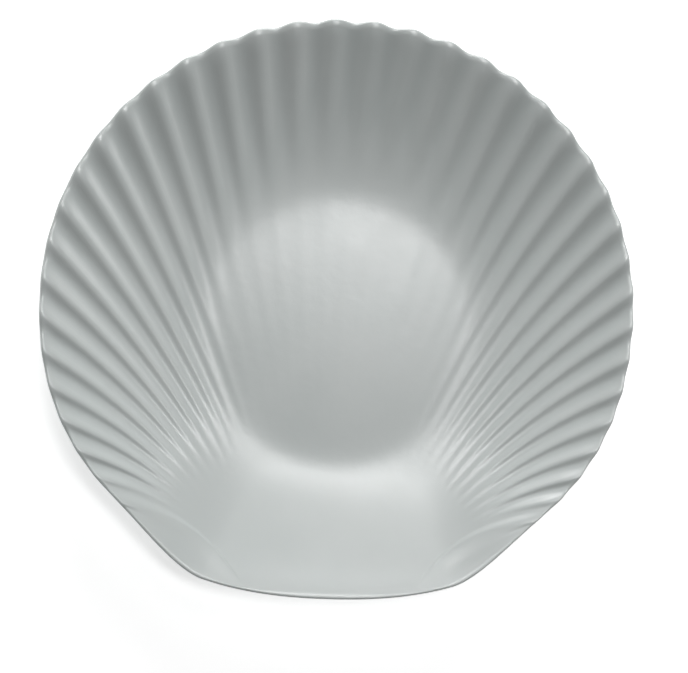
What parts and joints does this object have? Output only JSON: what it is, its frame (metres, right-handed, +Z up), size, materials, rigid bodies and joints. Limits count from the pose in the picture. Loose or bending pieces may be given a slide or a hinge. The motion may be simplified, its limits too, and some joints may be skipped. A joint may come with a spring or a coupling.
{
  "type": "shell platter",
  "caption": "Scallop shell serving platter with a fluted fan-shaped wall, a flat round well, a smooth hinge end with ears, and a round foot ring.",
  "frame": {"origin": "on the table under the middle of the outline, seen from above", "axes": "+X across the shell, +Y from the lip at the hinge towards the crown of the fan, +Z up out of the dish"},
  "size_m": [0.27, 0.26, 0.0344],
  "materials": {
    "white_glaze": "satin to gloss white glaze"
  },
  "bodies": {
    "root": {"shell_platter": "white_glaze"}
  },
  "joints": []
}
